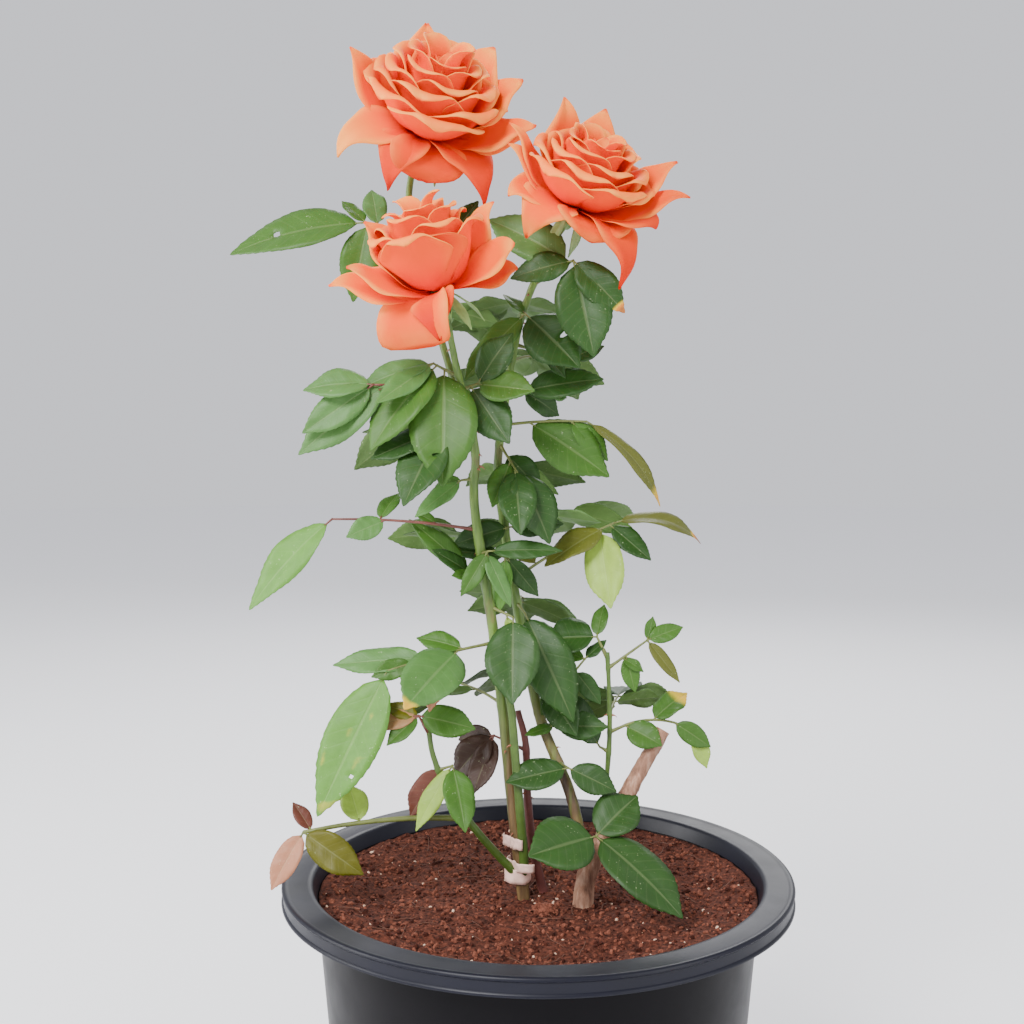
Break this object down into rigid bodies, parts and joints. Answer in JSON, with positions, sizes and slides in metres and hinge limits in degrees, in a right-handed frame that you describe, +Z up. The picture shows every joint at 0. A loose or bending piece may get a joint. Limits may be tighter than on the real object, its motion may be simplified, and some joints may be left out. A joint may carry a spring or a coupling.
{
  "type": "potted rose bush",
  "caption": "Rose bush with slender green canes, sprays of toothed leaflets and open coral blooms, growing in a round dark plastic nursery pot filled with soil.",
  "frame": {"origin": "centre of the flat underside of the pot, on the surface it stands on", "axes": "+Z up, -Y towards the viewer of the picture, +X to the viewer's right"},
  "size_m": [0.2817, 0.256, 0.626],
  "materials": {
    "pot": "dark slate, nearly black plastic with a soft satin sheen",
    "soil": "loose, moist, red-brown coco peat, rough and matt",
    "green_cane": "green young bark, smooth with a slight sheen, a few prickles",
    "old_cane": "weathered brown bark, dry, with a pale cut end",
    "leaves": "mid to dark green leaves with a satin upper side; a few yellow, brown or red-tinged",
    "petals": "coral-orange petals, velvety, paler along their edges"
  },
  "bodies": {
    "root": {"pot": "pot", "soil": "soil", "left_cane": "green_cane", "old_cane": "old_cane", "middle_cane": "green_cane", "right_cane": "green_cane", "flower_stem": "green_cane", "side_shoot": "green_cane", "low_shoot": "green_cane", "bloom_top": "petals", "bloom_right": "petals", "bloom_front": "petals", "leaves_flower_left": "leaves", "leaves_flower_back": "leaves", "leaves_right_top": "leaves", "leaves_right_neck": "leaves", "leaves_right_far": "leaves", "leaves_right_upper": "leaves", "leaves_right_drooping": "leaves", "leaves_centre": "leaves", "leaves_centre_low": "leaves", "leaves_left_neck": "leaves", "leaves_left_upper": "leaves", "leaves_left_outer": "leaves", "leaves_left_hanging": "leaves", "leaves_left_small": "leaves", "leaves_left_long": "leaves", "leaves_left_middle": "leaves", "leaves_front_middle": "leaves", "leaves_middle_left": "leaves", "leaves_middle_right": "leaves", "leaves_left_low": "leaves", "leaves_right_slope": "leaves", "leaves_right_middle": "leaves", "leaves_right_rising": "leaves", "leaves_right_inner": "leaves", "leaves_front_inner": "leaves", "leaves_front_low": "leaves", "leaves_foot_front": "leaves", "leaves_shoot_tip": "leaves", "leaves_shoot_high": "leaves", "leaves_shoot_left": "leaves", "leaves_shoot_right": "leaves", "leaves_low_shoot_tip": "leaves", "leaves_low_shoot_middle": "leaves", "leaves_dead_leaf": "leaves", "leaves_low_left": "leaves", "leaves_back_top": "leaves", "leaves_back_upper_right": "leaves", "leaves_back_upper_left": "leaves", "leaves_back_right": "leaves", "leaves_back_left": "leaves", "leaves_back_middle": "leaves", "leaves_back_low_left": "leaves", "leaves_back_low_right": "leaves", "leaves_back_neck": "leaves", "leaves_back_side_left": "leaves", "leaves_back_side_right": "leaves"}
  },
  "joints": []
}
